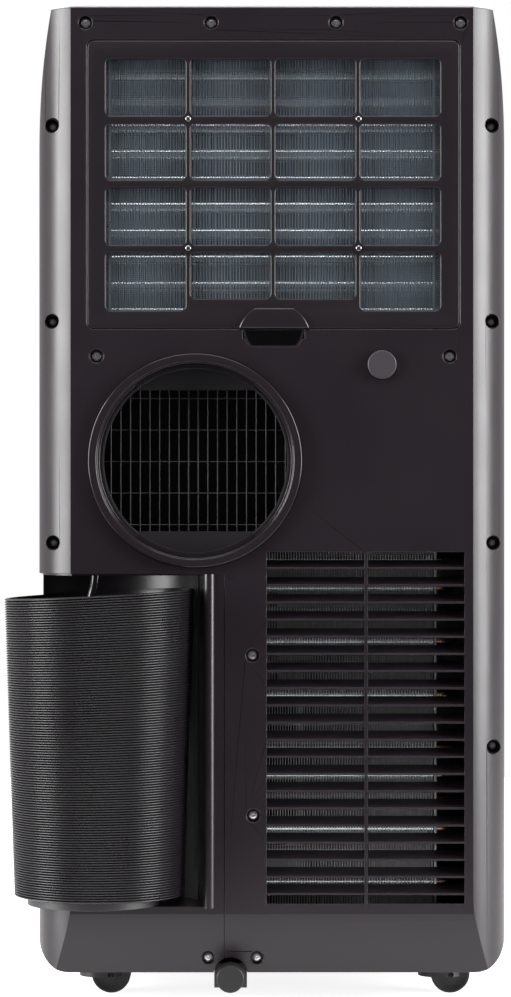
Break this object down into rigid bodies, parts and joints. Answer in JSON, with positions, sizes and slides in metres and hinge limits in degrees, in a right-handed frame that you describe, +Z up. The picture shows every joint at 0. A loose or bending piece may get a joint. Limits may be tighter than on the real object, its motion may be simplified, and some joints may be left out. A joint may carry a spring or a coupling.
{
  "type": "portable air conditioner",
  "caption": "Upright room air conditioner on casters: dark rear casing with air filter, round exhaust outlet and condenser grille, white front, and an exhaust hose stored in a corner bay.",
  "frame": {"origin": "Middle of the footprint, hose included, on the floor under the caster wheels.", "axes": "+Z is up. -Y is the service side with the filter, exhaust outlet and hose bay; +Y is the white front. +X is to the right seen from the service side, so the hose stands at -X."},
  "size_m": [0.3692, 0.3798, 0.7441],
  "materials": {
    "rear_plastic": "satin moulded plastic, dark charcoal",
    "bay_plastic": "satin moulded plastic, dark charcoal",
    "white_plastic": "satin moulded plastic, white",
    "panel_gloss": "polished black",
    "button_plastic": "fine matt grey",
    "pan_plastic": "matt moulded plastic",
    "screw_metal": "blackened steel",
    "guard_plastic": "moulded grid",
    "hose_plastic": "ribbed, semi-gloss black",
    "fin_aluminium": "thin bright fins",
    "copper": "bare copper tube",
    "sheet_metal": "galvanised sheet",
    "tray_foam": "moulded tray",
    "duct_plastic": "moulded air duct",
    "motor_metal": "zinc plated shell",
    "compressor_paint": "black enamel",
    "foot_rubber": "black rubber",
    "capacitor_shell": "drawn can",
    "spout_plastic": "moulded spout",
    "gland_rubber": "flexible strain relief",
    "cord_pvc": "glossy black sheath",
    "plug_pvc": "moulded black plug",
    "filter_plastic": "moulded filter frame",
    "filter_net": "woven nylon net",
    "stud_metal": "small bright studs",
    "fan_plastic": "moulded wheel",
    "drain_plug_rubber": "grey soft plug",
    "seal_rubber": "flat washer",
    "cap_plastic": "moulded cap",
    "caster_plastic": "moulded hood",
    "wheel_plastic": "hard wheel"
  },
  "bodies": {
    "root": {"rear_cover": "rear_plastic", "duct_collar": "rear_plastic", "hose_bay": "bay_plastic", "hose_shelf": "bay_plastic", "front_cover": "white_plastic", "top_cover": "white_plastic", "side_handles": "white_plastic", "control_panel": "panel_gloss", "base_pan": "pan_plastic", "casing_screws": "screw_metal", "exhaust_guard": "guard_plastic", "exhaust_hose": "hose_plastic", "evaporator_fins": "fin_aluminium", "condenser_fins": "fin_aluminium", "evaporator_tubes": "copper", "condenser_tubes": "copper", "refrigerant_pipes": "copper", "evaporator_plates": "sheet_metal", "condenser_plates": "sheet_metal", "control_box": "sheet_metal", "drain_tray": "tray_foam", "evaporator_scroll": "duct_plastic", "exhaust_scroll": "duct_plastic", "outlet_duct": "duct_plastic", "evaporator_motor": "motor_metal", "exhaust_motor": "motor_metal", "splash_motor": "motor_metal", "compressor": "compressor_paint", "accumulator": "compressor_paint", "compressor_feet": "foot_rubber", "run_capacitor": "capacitor_shell", "drain_spout": "spout_plastic", "upper_drain_spout": "spout_plastic", "cord_gland": "gland_rubber", "power_cord": "cord_pvc", "cord_coil": "cord_pvc", "power_plug": "plug_pvc"},
    "filter": {"filter_frame": "filter_plastic", "filter_mesh": "filter_net", "filter_studs": "stud_metal"},
    "evaporator_rotor": {"evaporator_fan": "fan_plastic"},
    "exhaust_rotor": {"exhaust_fan": "fan_plastic"},
    "splash_rotor": {"splash_wheel": "fan_plastic"},
    "upper_plug": {"upper_drain_plug": "drain_plug_rubber"},
    "cap_carrier": {"drain_seal": "seal_rubber"},
    "cap": {"drain_cap": "cap_plastic"},
    "louvre": {"outlet_louvre": "white_plastic"},
    "swivel_rear_left": {"caster_rear_left": "caster_plastic"},
    "swivel_rear_right": {"caster_rear_right": "caster_plastic"},
    "swivel_front_left": {"caster_front_left": "caster_plastic"},
    "swivel_front_right": {"caster_front_right": "caster_plastic"},
    "roll_rear_left": {"wheels_rear_left": "wheel_plastic"},
    "roll_rear_right": {"wheels_rear_right": "wheel_plastic"},
    "roll_front_left": {"wheels_front_left": "wheel_plastic"},
    "roll_front_right": {"wheels_front_right": "wheel_plastic"},
    "key_power": {"button_power": "button_plastic"},
    "key_mode": {"button_mode": "button_plastic"},
    "key_up": {"button_up": "button_plastic"},
    "key_down": {"button_down": "button_plastic"}
  },
  "joints": [
    {"name": "filter_tilt", "type": "hinge", "parent": "root", "child": "filter", "pos_m": [0.01309, -0.1391, 0.699], "axis": [-1, 0, 0], "range_deg": [0, 40]},
    {"name": "evaporator_fan_spin", "type": "hinge", "parent": "root", "child": "evaporator_rotor", "pos_m": [0.01209, -0.0401, 0.605], "axis": [0, 1, 0], "continuous": true},
    {"name": "exhaust_fan_spin", "type": "hinge", "parent": "root", "child": "exhaust_rotor", "pos_m": [0.07409, -0.0101, 0.396], "axis": [0, 1, 0], "continuous": true},
    {"name": "splash_wheel_spin", "type": "hinge", "parent": "root", "child": "splash_rotor", "pos_m": [0.02209, -0.0651, 0.056], "axis": [0, 1, 0], "continuous": true},
    {"name": "louvre_tilt", "type": "hinge", "parent": "root", "child": "louvre", "pos_m": [0.01209, 0.1854, 0.68], "axis": [1, 0, 0], "range_deg": [0, 70]},
    {"name": "upper_plug_pull", "type": "slide", "parent": "root", "child": "upper_plug", "axis": [0, -1, 0], "range_m": [0, 0.03]},
    {"name": "cap_travel", "type": "slide", "parent": "root", "child": "cap_carrier", "axis": [0, -1, 0], "range_m": [0, 0.0075]},
    {"name": "cap_turn", "type": "hinge", "parent": "cap_carrier", "child": "cap", "pos_m": [-0.01831, -0.1501, 0.02], "axis": [0, -1, 0], "range_deg": [0, 1080]},
    {"name": "swivel_rear_left", "type": "hinge", "parent": "root", "child": "swivel_rear_left", "pos_m": [-0.11421, -0.0831, 0.033], "axis": [0, 0, 1], "continuous": true},
    {"name": "roll_rear_left", "type": "hinge", "parent": "swivel_rear_left", "child": "roll_rear_left", "pos_m": [-0.10751, -0.0831, 0.0145], "axis": [0, 1, 0], "continuous": true},
    {"name": "swivel_rear_right", "type": "hinge", "parent": "root", "child": "swivel_rear_right", "pos_m": [0.13839, -0.0831, 0.033], "axis": [0, 0, 1], "continuous": true},
    {"name": "roll_rear_right", "type": "hinge", "parent": "swivel_rear_right", "child": "roll_rear_right", "pos_m": [0.14509, -0.0831, 0.0145], "axis": [0, 1, 0], "continuous": true},
    {"name": "swivel_front_left", "type": "hinge", "parent": "root", "child": "swivel_front_left", "pos_m": [-0.11421, 0.1329, 0.033], "axis": [0, 0, 1], "continuous": true},
    {"name": "roll_front_left", "type": "hinge", "parent": "swivel_front_left", "child": "roll_front_left", "pos_m": [-0.10751, 0.1329, 0.0145], "axis": [0, 1, 0], "continuous": true},
    {"name": "swivel_front_right", "type": "hinge", "parent": "root", "child": "swivel_front_right", "pos_m": [0.13839, 0.1329, 0.033], "axis": [0, 0, 1], "continuous": true},
    {"name": "roll_front_right", "type": "hinge", "parent": "swivel_front_right", "child": "roll_front_right", "pos_m": [0.14509, 0.1329, 0.0145], "axis": [0, 1, 0], "continuous": true},
    {"name": "press_power", "type": "slide", "parent": "root", "child": "key_power", "axis": [0, 0, -1], "range_m": [0, 0.0015], "stiffness_N_per_m": 300},
    {"name": "press_mode", "type": "slide", "parent": "root", "child": "key_mode", "axis": [0, 0, -1], "range_m": [0, 0.0015], "stiffness_N_per_m": 300},
    {"name": "press_up", "type": "slide", "parent": "root", "child": "key_up", "axis": [0, 0, -1], "range_m": [0, 0.0015], "stiffness_N_per_m": 300},
    {"name": "press_down", "type": "slide", "parent": "root", "child": "key_down", "axis": [0, 0, -1], "range_m": [0, 0.0015], "stiffness_N_per_m": 300}
  ],
  "couplings": [
    {"joint": "cap_turn", "follows": "cap_travel", "rad_per_m": 2513.3}
  ]
}
